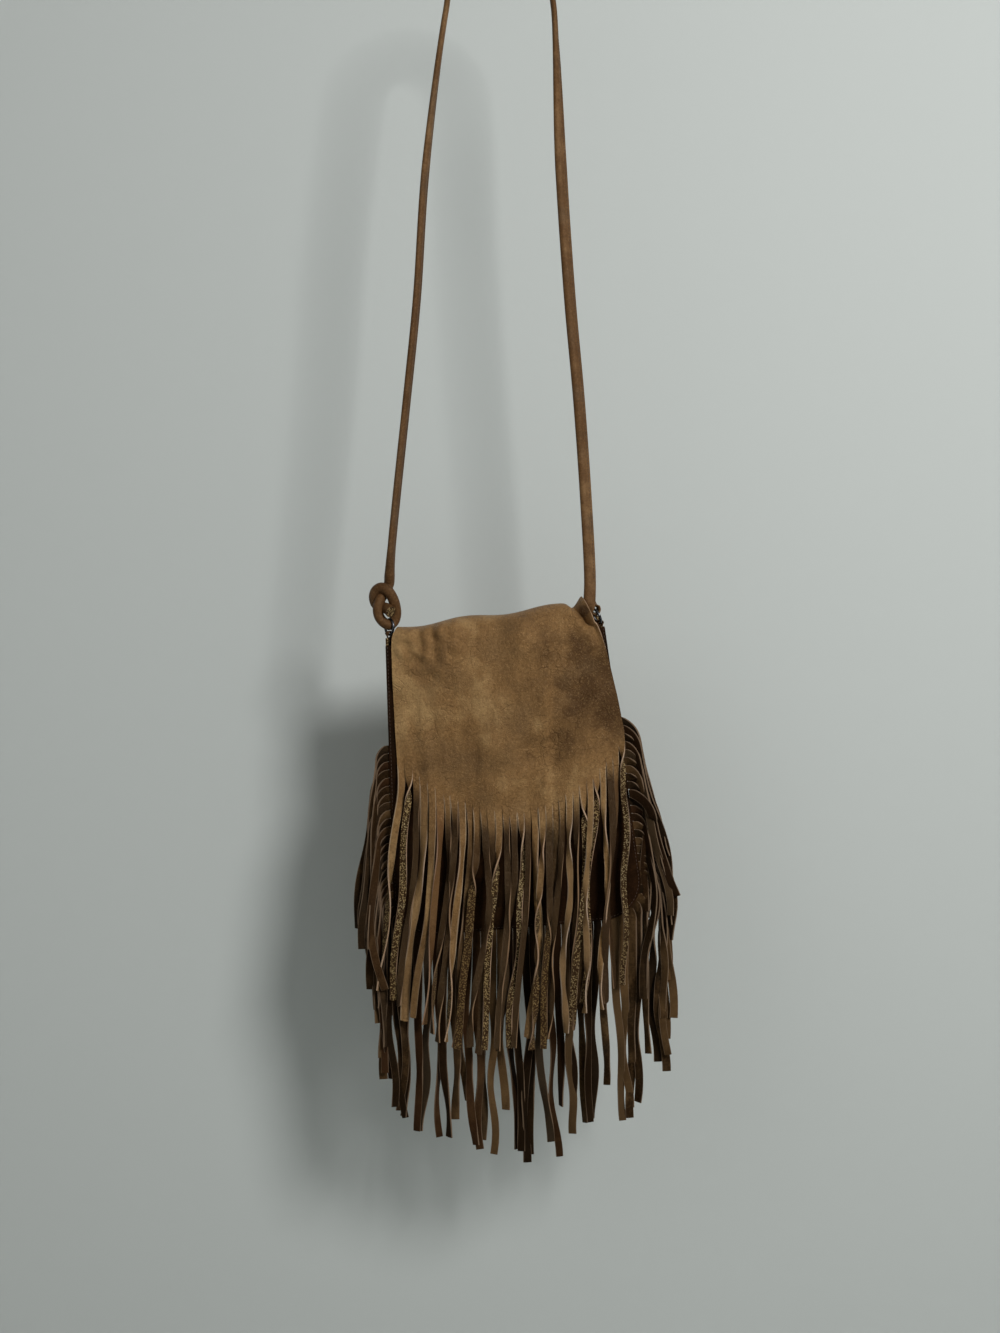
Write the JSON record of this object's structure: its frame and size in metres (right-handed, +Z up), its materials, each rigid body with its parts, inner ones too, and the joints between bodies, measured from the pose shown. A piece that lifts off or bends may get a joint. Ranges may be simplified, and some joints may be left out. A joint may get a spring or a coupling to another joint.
{
  "type": "fringed shoulder bag",
  "caption": "Soft leather shoulder bag hanging by its strap, with a fold-over flap cut into long fringe and a second fringe round the pouch seam.",
  "frame": {"origin": "under the crest of the strap, where a peg or a shoulder carries the bag", "axes": "+Z up, the bag hangs down along -Z; -Y is the front with the flap; +X is the viewer's right"},
  "size_m": [0.3383, 0.056, 1.2085],
  "materials": {
    "suede": "matt aged suede, mottled tan to brown",
    "dark_suede": "matt suede, darker",
    "strap_leather": "smooth worn leather",
    "gunmetal": "dark gunmetal"
  },
  "bodies": {
    "root": {"back_and_flap": "suede", "front_panel": "suede", "gusset": "dark_suede", "pouch_fringe": "dark_suede", "left_tab": "dark_suede", "right_tab": "dark_suede", "left_ring": "gunmetal", "right_ring": "gunmetal", "shoulder_strap": "strap_leather"}
  },
  "joints": []
}
